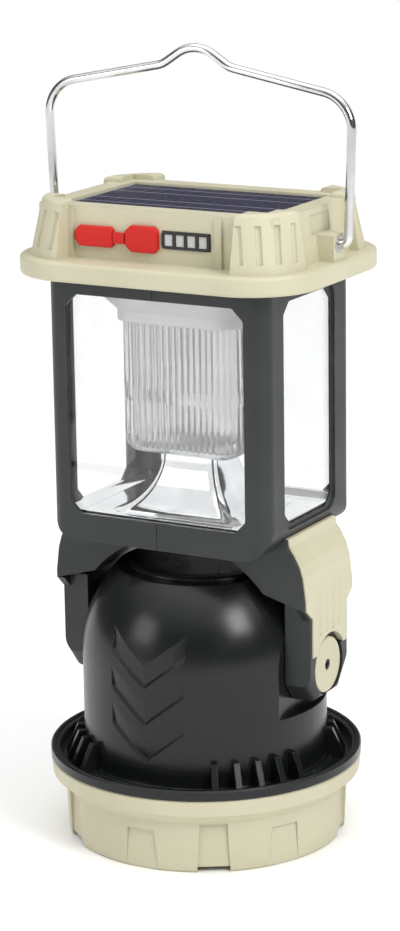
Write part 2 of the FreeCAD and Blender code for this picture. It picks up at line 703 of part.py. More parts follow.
def make_arm(side, sign):
    """A yoke arm: a shoulder under the body, a leg down to the pivot and the cover's sunk seat."""
    middle = (0, "pivot_height")
    inner = "flat_distance + side_gap"
    shoulder = prism(f"{side}_shoulder", "XZ", mirrored(
        [(16, 100), ("arm_face", "arm_step_height")] + arm_contour("arm_face - arm_outer")[1:] +
        [("body_half_x + 0.2", 115.4), ("body_half_x - 12", 115.4), (16, 110.2)], sign),
        "-shoulder_half_depth", "shoulder_half_depth")
    below = box(f"{side}_shoulder_floor", (-70, 70), (-30, 30), (60, "arm_step_height"))
    arch = cylinder(f"{side}_yoke_bore", "yoke_radius", -40, 40, "Y", (0, "pivot_height"))
    leg = prism(f"{side}_arm_leg", "YZ", [
        ("-arm_half_depth", "arm_step_height + 1"), ("-arm_half_depth", "foot_rise"),
        ("-foot_half_depth", "foot_bottom"), ("foot_half_depth", "foot_bottom"),
        ("arm_half_depth", "foot_rise"), ("arm_half_depth", "arm_step_height + 1")],
        *sorted_span(sign, inner, "arm_face"))
    outer_face = sign * number("arm_face")
    foot_limit = number("foot_rise + 1")
    leg_soft = fillet(f"{side}_arm_soft", leg, 3.5,
                      lambda edge: flat_at(edge, "X", outer_face) and edge.BoundBox.ZMax < foot_limit)
    haunch = prism(f"{side}_arm_haunch", "YZ", [
        ("-arm_half_depth", "arm_step_height - 4.2"), ("arm_half_depth", "arm_step_height - 4.2"),
        ("shoulder_half_depth", "arm_step_height + 0.1"), ("-shoulder_half_depth", "arm_step_height + 0.1")],
        *sorted_span(sign, "arm_outer - 2.5", "arm_face"))
    arched = cut(f"{side}_shoulder_cut", shoulder, [below, arch])
    blank = fuse(f"{side}_arm_blank", [arched, leg_soft, haunch])
    tools = [
        cover_plate(f"{side}_cover_seat", sign, "5", 0.1),
        body_envelope(f"{side}_body_space", 0),
        cylinder(f"{side}_pin_way", "pin_radius + pin_clearance", *sorted_span(sign, 30, "pin_outer + 0.4"),
                 "X", middle),
        cylinder(f"{side}_washer_space", "washer_radius + side_gap",
                 *sorted_span(sign, 30, "flat_distance + washer_thickness + 0.1"), "X", middle),
        cylinder(f"{side}_screw_way", "pivot_screw_radius + 0.5", *sorted_span(sign, "pin_outer", 60),
                 "X", middle),
        cylinder(f"{side}_cap_hollow", "pivot_cap_radius + 0.7", *sorted_span(sign, "cap_seat", 60),
                 "X", middle),
    ]
    flat = box(f"{side}_flat_space", (f"-({inner})", inner), (-30, 30), ("flat_bottom", "pivot_height + 19.2"))
    holes = [cylinder(f"{side}_arm_hole_{i}", "screw_hole_radius", 99, 111, "Z", (f"{sign} * arm_screw_x", y))
             for i, y in enumerate(("-arm_screw_y", "arm_screw_y"))]
    node(cut(f"{side}_arm_body", blank, tools + [flat] + holes), f"{side}_arm")


def cover_plate(name, sign, proud, clearance):
    """The bent plate of an arm cover, standing out by proud, widened by a clearance all round."""
    outer = [(f"arm_outer + {proud}", "cover_bottom - 4")] + arm_contour(proud)[1:] + [
        ("body_half_x + 0.6", 115.4)]
    inner = [("body_half_x - 0.9", 115.4)] + arm_contour("-cover_seat")[:0:-1] + [
        ("arm_outer - cover_seat", "cover_bottom - 4")]
    plate = prism(f"{name}_plate", "XZ", mirrored(outer + inner, sign), "-shoulder_half_depth - 1",
                  "shoulder_half_depth + 1")
    low, high = f"cover_half_low + {clearance}", f"cover_half_high + {clearance}"
    floor, step = f"cover_bottom - {clearance}", "arm_step_height"
    outline = [(f"-({low})", floor), (low, floor), (low, "arm_step_height - 4"), (high, step), (high, 117),
               (f"-({high})", 117), (f"-({high})", step), (f"-({low})", "arm_step_height - 4")]
    return common(name, [plate, prism(f"{name}_trim", "YZ", outline, -60, 60)])


def make_arm_cover(side, sign):
    """The cream plate sunk in an arm's outer face, with four flutes."""
    face = "arm_outer + cover_proud"
    flutes = [cylinder(f"{side}_flute_{i}", 1.1, 79.5, 104.5, "Z", (f"{sign} * ({face} + 0.55)", y))
              for i, y in enumerate((-7.5, -2.5, 2.5, 7.5))]
    ring = cylinder(f"{side}_cover_ring", "ring_radius + 0.1", *sorted_span(sign, 40, 60),
                    "X", (0, "pivot_height"))
    node(cut(f"{side}_cover_body", cover_plate(f"{side}_cover", sign, "cover_proud", 0), flutes + [ring]),
         f"{side}_arm_cover")


def make_pivot_cap(side, sign):
    middle = (0, "pivot_height")
    disc = cylinder(f"{side}_cap_disc", "pivot_cap_radius", *sorted_span(sign, "cap_seat", "cap_face"),
                    "X", middle)
    face = sign * number("cap_face")
    soft = fillet(f"{side}_cap_soft", disc, 0.6, lambda edge: flat_at(edge, "X", face))
    eye = cylinder(f"{side}_cap_eye", "pivot_screw_radius + 0.5", *sorted_span(sign, 40, 60), "X", middle)
    node(cut(f"{side}_cap", soft, [eye]), f"{side}_pivot_cap")


def make_arm_screws():
    floor = "body_bottom + body_wall"
    screws = [screw(f"arm_screw_{i}", 2.6, (floor, f"{floor} + 1.9"), "screw_hole_radius", 102, spot)
              for i, spot in enumerate(four_spots("arm_screw_x", "arm_screw_y"))]
    node(group("arm_screw_set", screws), "arm_screws")


# ---------------------------------------------------------------- lantern body

def make_body_shells():
    outer = body_envelope("body_outer", 0)
    inner = body_envelope("body_inner", "body_wall")
    top = rounded_box("body_mouth", "body_half_x - body_wall", "body_half_y - body_wall",
                      ("body_top - 5", "body_top + 5"), "body_corner - body_wall")
    frames = []
    windows = []
    chamfers = []
    faces = (("front", "window_half_front", "body_half_y", "Y"),
             ("side", "window_half_side", "body_half_x", "X"))
    for face, half, reach, axis in faces:
        for name, sign in (("near", -1), ("far", 1)):
            across = (f"-({half}) - 2", f"{half} + 2")
            along = sorted_span(sign, f"{reach} - jamb_depth", f"{reach} - 0.5")
            x, y = (across, along) if axis == "Y" else (along, across)
            frames.append(box(f"{face}_{name}_jamb", x, y, ("window_bottom - 2", "window_top + 2")))
        across = (f"-({half})", half)
        x, y = (across, (-60, 60)) if axis == "Y" else ((-60, 60), across)
        opening = box(f"{face}_opening", x, y, ("window_bottom", "window_top"))
        windows.append(bevelled(f"{face}_window", opening, "window_corner",
                                lambda edge, way=axis: runs_along(edge, way)))
    for name, sign in (("left", -1), ("right", 1)):
        wide = box(f"{name}_bevel_block", sorted_span(sign, "body_half_x - 0.9", "body_half_x + 5"),
                   ("-window_half_side - 1.6", "window_half_side + 1.6"),
                   ("window_bottom - 1.4", "window_top + 1.4"))
        chamfers.append(fillet(f"{name}_bevel", wide, "window_corner + 1", lambda edge: runs_along(edge, "X")))
    bosses = [cylinder(f"shell_boss_{i}", 3.6, "sleeve_top + 0.2", "body_top", "Z", spot)
              for i, spot in enumerate(four_spots("body_screw_x", "body_screw_y"))]
    boss_holes = [cylinder(f"shell_boss_hole_{i}", "screw_hole_radius", "sleeve_top", "body_top + 1", "Z",
                           spot) for i, spot in enumerate(four_spots("body_screw_x", "body_screw_y"))]
    arm_holes = [cylinder(f"floor_hole_{i}", "screw_hole_radius", 100, 114, "Z", spot)
                 for i, spot in enumerate(four_spots("arm_screw_x", "arm_screw_y"))]
    ring = box("parting_outer", (-0.15, 0.15), (-40, 40), (100, 210))
    core = box("parting_core", (-1, 1), ("0.3 - body_half_y", "body_half_y - 0.3"),
               ("body_bottom + 0.3", 215))
    parting = cut("parting_groove", ring, [core])
    tube = cut("body_tube", outer, [inner, top])
    solid = fuse("body_frame", [tube] + frames + bosses)
    room = rounded_box("sleeve_room", "sleeve_half_x", "sleeve_half_y",
                       ("sleeve_bottom", "sleeve_top + 0.2"), "sleeve_corner")
    whole = cut("body_whole", solid, windows + chamfers + boss_holes + arm_holes + [parting, room])
    for side, sign in SIDES.items():
        half = box(f"{side}_half", sorted_span(sign, 0, 60), (-60, 60), (90, 220))
        node(common(f"{side}_shell", [whole, half]), f"{side}_body_shell")


def make_chamber():
    inner_corner = "sleeve_corner - sleeve_wall"
    sleeve = rounded_box("sleeve_outer", "sleeve_half_x", "sleeve_half_y", ("sleeve_bottom", "sleeve_top"),
                         "sleeve_corner")
    hollow = rounded_box("sleeve_inner", "sleeve_half_x - sleeve_wall", "sleeve_half_y - sleeve_wall",
                         (100, 210), inner_corner)
    node(cut("sleeve", sleeve, [hollow]), "clear_sleeve")

    half_x, half_y = "sleeve_half_x - sleeve_wall - 0.1", "sleeve_half_y - sleeve_wall - 0.1"
    slab = rounded_box("tray_slab", half_x, half_y, ("tray_floor - 1.5", "tray_floor + 2"), inner_corner)
    skirt = rounded_box("tray_skirt", "tray_skirt_x", "tray_skirt_y",
                        ("body_bottom + body_wall", "tray_floor - 1"), 3.0)
    under = rounded_box("tray_under", "tray_skirt_x - 1.5", "tray_skirt_y - 1.5",
                        (100, "tray_floor - 1.5"), 1.5)
    tray = fuse("tray_outer", [slab, skirt])
    basin = loft("tray_basin", [(f"{half_x} - 4", f"{half_y} - 4", 1.5, "tray_floor"),
                                (f"{half_x} - 1.2", f"{half_y} - 1.2", 1.5, "tray_floor + 2.1")])
    node(cut("tray", tray, [under, basin]), "reflector_tray")

    flare = [(26.0, 20.4, 5.0, "tray_floor"), (22.4, 18.4, 4.4, "tray_floor + 1"),
             (19.2, 16.6, 4.0, "tray_floor + 3"), (15.6, 14.4, 3.6, "tray_floor + 6.5"),
             (13.0, 12.4, 3.2, "tray_floor + 10.5"), (11.3, 10.9, 3.0, "tray_floor + 15"),
             (10.8, 10.4, 3.0, "pedestal_top")]
    node(loft("pedestal", flare, ruled=False), "reflector_pedestal")

    plate = rounded_box("ceiling_plate", half_x, half_y, ("ceiling_bottom", "sleeve_top"), inner_corner)
    mouth = ("diffuser_half_x + 1.8", "diffuser_half_y + 1.8", "diffuser_corner + 1.8")
    spread = ("diffuser_half_x + 9", "diffuser_half_y + 6", "diffuser_corner + 4")
    collar = loft("ceiling_collar", [(*mouth, 186.5), (*mouth, 190.0), (*spread, "ceiling_bottom")])
    collar_hole = rounded_box("collar_hole", "diffuser_half_x", "diffuser_half_y", (180, "ceiling_bottom"),
                              "diffuser_corner")
    node(fuse("ceiling", [plate, cut("collar", collar, [collar_hole])]), "chamber_ceiling")

    shade = rounded_box("shade_outer", "diffuser_half_x", "diffuser_half_y",
                        ("diffuser_bottom", "ceiling_bottom"), "diffuser_corner")
    low = number("diffuser_bottom")
    bowl = fillet("shade_bowl", shade, 6.0, lambda edge: flat_at(edge, "Z", low))
    inside = rounded_box("shade_inside", "diffuser_half_x - diffuser_wall", "diffuser_half_y - diffuser_wall",
                         ("diffuser_bottom + 2.2", 210), "diffuser_corner - diffuser_wall")
    inside_low = number("diffuser_bottom + 2.2")
    hollow = fillet("shade_hollow", inside, 4.5, lambda edge: flat_at(edge, "Z", inside_low))
    node(cut("shade", bowl, [hollow]), "ribbed_diffuser")

    board = rounded_box("lamp_board", 17, 13, ("ceiling_bottom - 1.6", "ceiling_bottom"), 3)
    chip_spots = [(x, y) for x in (-12, -4, 4, 12) for y in (-8, 0, 8)]
    chips = [box(f"lamp_led_{i}", (x - 1.4, x + 1.4), (y - 1.4, y + 1.4),
                 ("ceiling_bottom - 2.3", "ceiling_bottom - 1.6")) for i, (x, y) in enumerate(chip_spots)]
    node(fuse("lamp_board_full", [board] + chips), "lantern_led_board")


# ---------------------------------------------------------------- top cover

LUG_SIGNS = [(x, y) for x in (-1, 1) for y in (-1, 1)]


def lug_ring(name, shrink, low, high):
    """Four tapered corner lugs, cut from a tapered block by its corners."""
    sections = [(f"lug_half_x_{end} - {shrink}", f"lug_half_y_{end} - {shrink}", f"lug_corner - {shrink}", z)
                for end, z in (("low", low), ("high", high))]
    block = loft(f"{name}_block", sections)
    corners = []
    for i, (sx, sy) in enumerate(LUG_SIGNS):
        sides = sorted_span(sx, f"lug_start_x + {shrink}", 70), sorted_span(sy, f"lug_start_y + {shrink}", 70)
        corners.append(box(f"{name}_corner_{i}", *sides, (200, 240)))
    return common(name, [block, fuse(f"{name}_corners", corners)])


def flute_cutters():
    """Four flutes down the round of each lug, following its taper."""
    low, high = 213.0, 225.5
    cutters = []
    for i, (sx, sy) in enumerate(LUG_SIGNS):
        for j, angle in enumerate((17, 37, 57, 77)):
            ends = []
            for z in (low, high):
                part = (z - 209.0) / (number("lug_top") - 209.0)
                reach_x = number("lug_half_x_low") + part * number("lug_half_x_high - lug_half_x_low")
                reach_y = number("lug_half_y_low") + part * number("lug_half_y_high - lug_half_y_low")
                r = number("lug_corner")
                ends.append((sx * (reach_x - r + (r + 0.2) * math.cos(math.radians(angle))),
                             sy * (reach_y - r + (r + 0.2) * math.sin(math.radians(angle))), z))
            cutters.append(rod_between(f"flute_{i}_{j}", "flute_radius", *ends))
    return cutters


def make_top_cover():
    rim = rounded_box("rim_slab", "rim_half_x", "rim_half_y", ("body_top", "rim_top"), "rim_corner")
    levels = [number("body_top"), number("rim_top")]
    rim_soft = fillet("rim_soft", rim, 1.3, lambda edge: any(flat_at(edge, "Z", level) for level in levels))
    house = loft("house", [("house_half_x_low", "house_half_y", 3, "rim_top - 1"),
                           ("house_half_x_high", "house_half_y", 3, "house_top")])
    lugs = lug_ring("lugs", 0, 209.0, "lug_top")
    crest = number("lug_top")
    lugs_soft = fillet("lugs_soft", lugs, 1.6, lambda edge: flat_at(edge, "Z", crest))
    pilasters = [box(f"pilaster_{i}", x, ("-house_half_y - 0.9", "1 - house_half_y"),
                     ("rim_top - 1", "house_top - 1.2")) for i, x in enumerate(((-33.6, -31.2), (23.6, 26.2)))]
    blocks = [box(f"{side}_bail_block", sorted_span(sign, 42, "bail_boss"),
                  ("-bail_boss_half", "bail_boss_half"), ("rim_top - 1", "bail_boss_top"))
              for side, sign in SIDES.items()]
    deck = box("deck_space", (-41.5, 41.5), (-27.5, 27.5), ("house_top", 240))
    lugs_cleared = cut("lugs_cleared", lugs_soft, [deck])
    outside = fuse("cover_outside", [rim_soft, house, lugs_cleared] + pilasters + blocks)

    cavity = rounded_box("cover_cavity", "house_inner_x", "house_inner_y", (200, "house_inner_top"), 2)
    rim_room = rounded_box("rim_room", "rim_half_x - rim_wall", "rim_half_y - rim_wall", (200, "rim_top - 2"),
                           "rim_corner - rim_wall")
    lug_room = lug_ring("lug_room", 2.2, 205.0, 226.4)
    recess = rounded_box("panel_recess", "panel_half_x + 0.25", "panel_half_y + 0.25",
                         ("panel_seat", 240), 0.8)
    pockets = [box(f"{side}_pocket", sorted_span(sign, 46.2, 60), (-7.0, 7.0), ("bail_boss_top", 225.2))
               for side, sign in SIDES.items()]
    sockets = [
        box("usb_way", ("usb_centre - 6.6", "usb_centre + 6.6"), (-40, -20),
            ("port_height - 2.9", "port_height + 2.9")),
        box("charge_way", ("charge_centre - 4.6", "charge_centre + 4.6"), (-40, -20),
            ("port_height - 1.75", "port_height + 1.75")),
        box("indicator_way", ("indicator_left", "indicator_right"), (-40, -20),
            ("indicator_low", "indicator_high")),
    ]
    button_ways = [cylinder(f"button_way_{i}", "button_radius + button_clearance", 20, 40, "Y",
                            (x, "port_height")) for i, x in enumerate(("-button_spacing", "button_spacing"))]
    bush_ways = cylinder("bush_way", "bush_radius", -60, 60, "X", (0, "bail_pivot_height"))
    hollows = [cavity, rim_room, lug_room, recess] + pockets + sockets + button_ways
    carved = cut("cover_carved", outside, hollows + flute_cutters())
    screw_spots = four_spots("cover_screw_x", "cover_screw_y")
    plate_top = "body_top + plate_thickness"
    bosses = [cylinder(f"cover_boss_{i}", 3.2, plate_top, 216, "Z", spot)
              for i, spot in enumerate(screw_spots)]
    inner_walls = [box(f"{side}_bail_wall", sorted_span(sign, 40.8, 44), (-7.0, 7.0),
                       (plate_top, "bail_boss_top")) for side, sign in SIDES.items()]
    holes = [cylinder(f"cover_boss_hole_{i}", "screw_hole_radius", 200, 214, "Z", spot)
             for i, spot in enumerate(screw_spots)]
    node(cut("cover", fuse("cover_solid", [carved] + bosses + inner_walls), holes + [bush_ways]), "top_cover")


def make_base_plate():
    """The plate under the top cover, its board posts, and the screws that hold it and the cover."""
    top = "body_top + plate_thickness"
    plate = rounded_box("plate_slab", "rim_half_x - rim_wall", "rim_half_y - rim_wall", ("body_top", top),
                        "rim_corner - rim_wall")
    board_spots = four_spots("board_post_x", "board_post_y")
    cover_spots = four_spots("cover_screw_x", "cover_screw_y")
    body_spots = four_spots("body_screw_x", "body_screw_y")
    posts = [cylinder(f"board_post_{i}", "post_radius", top, "board_low", "Z", spot)
             for i, spot in enumerate(board_spots)]
    post_holes = [cylinder(f"board_post_hole_{i}", "screw_hole_radius", 207, 220, "Z", spot)
                  for i, spot in enumerate(board_spots)]
    screw_holes = [cylinder(f"plate_hole_{i}", "screw_hole_radius", 200, 210, "Z", spot)
                   for i, spot in enumerate(cover_spots + body_spots)]
    sinks = [cylinder(f"plate_sink_{i}", 2.7, 200, "body_top + 1.2", "Z", spot)
             for i, spot in enumerate(cover_spots)]
    holes = post_holes + screw_holes + sinks
    node(cut("plate", fuse("plate_solid", [plate] + posts), holes), "top_base_plate")
    cover_screws = [screw(f"cover_screw_{i}", 2.6, ("body_top + 0.1", "body_top + 1.2"),
                          "screw_hole_radius", 213, spot) for i, spot in enumerate(cover_spots)]
    node(group("cover_screw_set", cover_screws), "top_cover_screws")
    body_screws = [screw(f"body_screw_{i}", 2.6, (top, f"{top} + 1.5"), "screw_hole_radius",
                         "sleeve_top + 0.4", spot) for i, spot in enumerate(body_spots)]
    node(group("body_screw_set", body_screws), "body_screws")


def make_panel():
    gasket = rounded_box("gasket_slab", "panel_half_x - 0.3", "panel_half_y - 0.3",
                         ("panel_seat", "panel_bottom"), 0.8)
    hole = box("gasket_hole", ("6 - panel_half_x", "panel_half_x - 6"),
               ("6 - panel_half_y", "panel_half_y - 6"), (220, 230))
    node(cut("gasket", gasket, [hole]), "panel_gasket")
    panel = rounded_box("panel", "panel_half_x", "panel_half_y", ("panel_bottom", "panel_top"), 0.6)
    node(panel, "solar_panel")


def make_electronics():
    front = "-house_half_y"
    board_top = "board_low + board_thickness"
    shell = box("usb_shell", ("usb_centre - 6.55", "usb_centre + 6.55"), (f"{front} + 0.1", f"{front} + 14.1"),
                (board_top, f"{board_top} + 5.7"))
    mouth = box("usb_mouth", ("usb_centre - 6.15", "usb_centre + 6.15"), (-40, f"{front} + 12"),
                (f"{board_top} + 0.4", f"{board_top} + 5.3"))
    tongue = box("usb_tongue", ("usb_centre - 5.6", "usb_centre + 5.6"),
                 (f"{front} + 0.9", f"{front} + 12.5"), (f"{board_top} + 3.1", f"{board_top} + 4.9"))
    node(fuse("usb", [cut("usb_can", shell, [mouth]), tongue]), "usb_output_socket")

    pad = box("charge_pad", ("charge_centre - 4.4", "charge_centre + 4.4"),
              (f"{front} + 2", f"{front} + 8.5"), (board_top, "port_height - 1.5"))
    can = box("charge_can", ("charge_centre - 4.5", "charge_centre + 4.5"),
              (f"{front} + 0.1", f"{front} + 8.5"), ("port_height - 1.65", "port_height + 1.65"))
    can_soft = fillet("charge_can_soft", can, 1.5, lambda edge: runs_along(edge, "Y"))
    can_mouth = box("charge_mouth", ("charge_centre - 4.1", "charge_centre + 4.1"), (-40, f"{front} + 7"),
                    ("port_height - 1.25", "port_height + 1.25"))
    mouth_soft = fillet("charge_mouth_soft", can_mouth, 1.2, lambda edge: runs_along(edge, "Y"))
    blade = box("charge_blade", ("charge_centre - 3.2", "charge_centre + 3.2"),
                (f"{front} + 1.2", f"{front} + 7.5"), ("port_height - 0.35", "port_height + 0.35"))
    node(fuse("charge", [pad, cut("charge_hollow", can_soft, [mouth_soft]), blade]), "charge_socket")

    board = rounded_box("main_board", 38, 24, ("board_low", board_top), 2)
    spots = four_spots("board_post_x", "board_post_y")
    holes = [cylinder(f"board_hole_{i}", "screw_hole_radius", 205, 220, "Z", spot)
             for i, spot in enumerate(spots)]
    packages = ((-12, -6, 9, 9, 1.6), (6, 2, 12, 10, 4.2), (-26, 4, 6, 6, 3.0), (22, -8, 5, 4, 1.4),
                (-4, 8, 5, 6, 1.2))
    parts = [box(f"board_part_{i}", (x, x + width), (y, y + depth), (board_top, f"{board_top} + {tall}"))
             for i, (x, y, width, depth, tall) in enumerate(packages)]
    node(cut("main_board_drilled", fuse("main_board_full", [board] + parts), holes), "control_board")
    board_screws = [screw(f"board_screw_{i}", 2.4, (board_top, f"{board_top} + 1.4"), "screw_hole_radius",
                          207.5, spot) for i, spot in enumerate(spots)]
    node(group("board_screw_set", board_screws), "board_screws")


def make_indicator():
    left, right = "indicator_left + 0.1", "indicator_right - 0.1"
    low, high = "indicator_low + 0.1", "indicator_high - 0.1"
    frame = box("indicator_block", (left, right), ("-house_half_y - 0.7", "2 - house_half_y"), (low, high))
    soft = fillet("indicator_soft", frame, 1.2, lambda edge: runs_along(edge, "Y"))
    pitch = "(indicator_right - indicator_left - 1.2) / 4"
    windows, lenses, lamps = [], [], []
    for i in range(4):
        centre = f"indicator_left + 0.6 + {pitch} * {i + 0.5}"
        span = f"{centre} - 1.55", f"{centre} + 1.55"
        windows.append(box(f"indicator_cut_{i}", span, (-40, -20), (f"{low} + 0.9", f"{high} - 0.9")))
        lenses.append(box(f"indicator_lens_{i}", span, ("-house_half_y - 0.4", "1.8 - house_half_y"),
                          (f"{low} + 0.9", f"{high} - 0.9")))
        lamps.append(box(f"indicator_lamp_{i}", (f"{centre} - 0.8", f"{centre} + 0.8"),
                         ("2.8 - house_half_y", "3.6 - house_half_y"),
                         ("port_height - 0.6", "port_height + 0.6")))
    node(cut("indicator_frame", soft, windows), "indicator_window")
    node(group("indicator_lens_set", lenses), "indicator_lenses")
    strip = box("indicator_strip", ("indicator_left + 0.5", "indicator_right - 0.5"),
                ("3.6 - house_half_y", "4.8 - house_half_y"),
                ("board_low + board_thickness", "port_height + 3"))
    node(fuse("indicator_lamps", [strip] + lamps), "indicator_board")


def make_switches():
    """Two tactile switches on an upright board behind the rear buttons."""
    base = "board_low + board_thickness"
    board = box("switch_strip", (-19, 19), ("house_half_y - 9.6", "house_half_y - 8.2"),
                (base, "port_height + 4.5"))
    parts = [board]
    for i, x in enumerate(("-button_spacing", "button_spacing")):
        parts.append(box(f"switch_case_{i}", (f"{x} - 3", f"{x} + 3"),
                         ("house_half_y - 8.2", "house_half_y - 5.2"),
                         ("port_height - 2.8", "port_height + 2.8")))
        parts.append(cylinder(f"switch_stem_{i}", 1.7, "house_half_y - 5.4", "house_half_y - 4.6", "Y",
                              (x, "port_height")))
    node(fuse("switches", parts), "switch_board")
    for name, x in (("lantern_button", "-button_spacing"), ("searchlight_button", "button_spacing")):
        crown = cylinder(f"{name}_crown", "button_radius", "house_half_y - 3", "house_half_y + button_proud",
                         "Y", (x, "port_height"))
        face = number("house_half_y + button_proud")
        soft = fillet(f"{name}_soft", crown, 0.7, lambda edge, level=face: flat_at(edge, "Y", level))
        flange = cylinder(f"{name}_flange", "button_radius + 1.2", "house_half_y - 3.4",
                          "house_half_y - 2.2", "Y", (x, "port_height"))
        node(fuse(f"{name}_body", [soft, flange]), name)


def make_port_cover():
    """Rubber cover: a middle strap fixed to the wall, and a flap on each side of it."""
    back, face = "-house_half_y - 0.05", "-house_half_y - 0.05 - port_cover_thickness"
    strap = [(-15.0, 215.7), (-10.7, 215.7), (-10.7, 219.3), (-15.0, 219.3)]
    node(prism("strap", "XZ", strap, face, "-house_half_y"), "port_cover_strap")
    left = [(-30.2, 216.2), (-28.4, 214.0), (-16.2, 214.0), (-15.3, 214.9), (-15.3, 220.1), (-16.2, 221.0),
            (-28.4, 221.0), (-30.2, 218.8)]
    right = [(-10.4, 215.2), (-8.2, 213.2), (0.6, 213.2), (2.0, 214.6), (2.0, 220.8), (0.6, 222.2),
             (-8.2, 222.2), (-10.4, 220.2)]
    for name, outline in (("usb_flap", left), ("charge_flap", right)):
        pad = prism(f"{name}_pad", "XZ", outline, face, back)
        level = number(face)
        node(fillet(f"{name}_body", pad, 0.5, lambda edge, y=level: flat_at(edge, "Y", y)), name)


# ---------------------------------------------------------------- bail handle

def rounded_path(points, radii):
    """A wire of straight runs joined by tangent arcs of the given radii."""
    spots = [FreeCAD.Vector(*point) for point in points]
    edges, last = [], spots[0]
    for before, here, after, radius in zip(spots, spots[1:], spots[2:], radii):
        inward, outward = (before - here).normalize(), (after - here).normalize()
        half = inward.getAngle(outward) / 2
        reach = radius / math.tan(half)
        start, end = here + inward * reach, here + outward * reach
        middle = here + (inward + outward).normalize() * (radius / math.sin(half) - radius)
        edges.append(Part.LineSegment(last, start).toShape())
        edges.append(Part.Arc(start, middle, end).toShape())
        last = end
    edges.append(Part.LineSegment(last, spots[-1]).toShape())
    return Part.Wire(edges)


def make_bail():
    pivot, half = number("bail_pivot_height"), number("bail_half_width")
    right_half = [(44.5, pivot), (half, pivot), (half + number("bail_lean"), number("bail_shoulder")),
                  (number("hump_foot"), number("bail_crest - hump_height"))]
    radii = [3.0, 12.5, 10.0]
    crown_radius = 12.5
    crown = [(0, 0, number("bail_crest + 2.5"))]
    points = [(x, 0, z) for x, z in right_half]
    left_half = [(-x, 0, z) for x, z in reversed(right_half)]
    wire = rounded_path(points + crown + left_half, radii + [crown_radius] + radii[::-1])
    start = FreeCAD.Vector(*points[0])
    circle = Part.makeCircle(number("wire_radius"), start, FreeCAD.Vector(1, 0, 0))
    handle = doc.addObject("Part::Feature", "bail")
    handle.Shape = wire.makePipeShell([Part.Wire(circle)], True, True)
    node(handle, "bail_handle")
    middle = (0, "bail_pivot_height")
    bushes = []
    for side, sign in SIDES.items():
        sleeve = cylinder(f"{side}_bush_sleeve", "bush_radius", *sorted_span(sign, 43.0, "bail_boss"),
                          "X", middle)
        collar = cylinder(f"{side}_bush_collar", "bush_radius + 0.5",
                          *sorted_span(sign, "bail_boss", "bail_boss + 0.3"), "X", middle)
        bore = cylinder(f"{side}_bush_bore", "wire_radius + wire_clearance", *sorted_span(sign, 40, 60),
                        "X", middle)
        bushes.append(cut(f"{side}_bush", fuse(f"{side}_bush_blank", [sleeve, collar]), [bore]))
    node(group("bushes", bushes), "handle_bushes")


# ---------------------------------------------------------------- assembly and export

make_head_housing()
make_head_cap()
make_bezel()
make_searchlight()
make_battery()
make_pivot()
for arm_side, arm_sign in SIDES.items():
    make_arm(arm_side, arm_sign)
    make_arm_cover(arm_side, arm_sign)
    make_pivot_cap(arm_side, arm_sign)
make_arm_screws()
make_body_shells()
make_chamber()
make_top_cover()
make_base_plate()
make_panel()
make_electronics()
make_indicator()
make_switches()
make_port_cover()
make_bail()
doc.recompute()

for item in doc.Objects:
    if any(state in item.State for state in ("Invalid", "Error")):
        raise RuntimeError(f"{item.Name} failed: {item.State}")
os.makedirs("parts", exist_ok=True)
for item in NODES:
    shape = item.Shape
    if shape.isNull() or not shape.isValid():
        raise RuntimeError(f"{item.Label} has no valid shape")
    print(f"{item.Label:24s} solids {len(shape.Solids)}  volume {shape.Volume:10.1f}")
    shape.exportStep(os.path.join("parts", f"{item.Label}.step"))
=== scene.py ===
import json
import math

import bmesh
import bpy
from mathutils import Matrix, Vector


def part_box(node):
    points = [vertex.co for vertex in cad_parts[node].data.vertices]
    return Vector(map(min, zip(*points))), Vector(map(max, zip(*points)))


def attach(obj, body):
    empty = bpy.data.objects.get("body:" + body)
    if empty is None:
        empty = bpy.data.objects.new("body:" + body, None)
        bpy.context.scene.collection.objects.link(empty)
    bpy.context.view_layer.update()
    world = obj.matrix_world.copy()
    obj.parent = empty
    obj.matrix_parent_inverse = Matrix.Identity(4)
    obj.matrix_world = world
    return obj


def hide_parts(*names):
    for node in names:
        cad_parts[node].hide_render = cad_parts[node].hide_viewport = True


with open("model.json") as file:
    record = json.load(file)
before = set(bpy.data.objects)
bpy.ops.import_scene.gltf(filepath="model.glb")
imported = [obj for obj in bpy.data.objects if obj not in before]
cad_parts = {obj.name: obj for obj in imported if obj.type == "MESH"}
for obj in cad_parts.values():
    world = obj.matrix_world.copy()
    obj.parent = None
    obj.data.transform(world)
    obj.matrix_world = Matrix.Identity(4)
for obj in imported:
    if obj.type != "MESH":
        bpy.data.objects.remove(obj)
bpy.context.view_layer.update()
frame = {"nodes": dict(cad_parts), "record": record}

MM = 0.001
SLOT_OF = {part["node"]: part["material_slot"] for part in frame["record"]["subparts"]}


# ---------------------------------------------------------------- node-tree helpers


def linear(colour):
    """An sRGB colour from 0 to 255 as the linear colour a shader socket takes."""
    def one(value):
        share = value / 255
        return share / 12.92 if share <= 0.04045 else ((share + 0.055) / 1.055) ** 2.4
    return tuple(one(value) for value in colour) + (1.0,)


def plug(tree, socket, value):
    """Link another node's output into the socket, or set a plain value on it."""
    if isinstance(value, bpy.types.NodeSocket):
        tree.links.new(value, socket)
    else:
        socket.default_value = value


def add_node(tree, kind, inputs, **settings):
    made = tree.nodes.new(kind)
    for key, value in settings.items():
        setattr(made, key, value)
    for key, value in inputs.items():
        plug(tree, made.inputs[key], value)
    return made


FULL = (0.0, 1.0)
NOISE_BODY = (0.3, 0.7)
CORNER_COSINE = (0.985, 0.80)


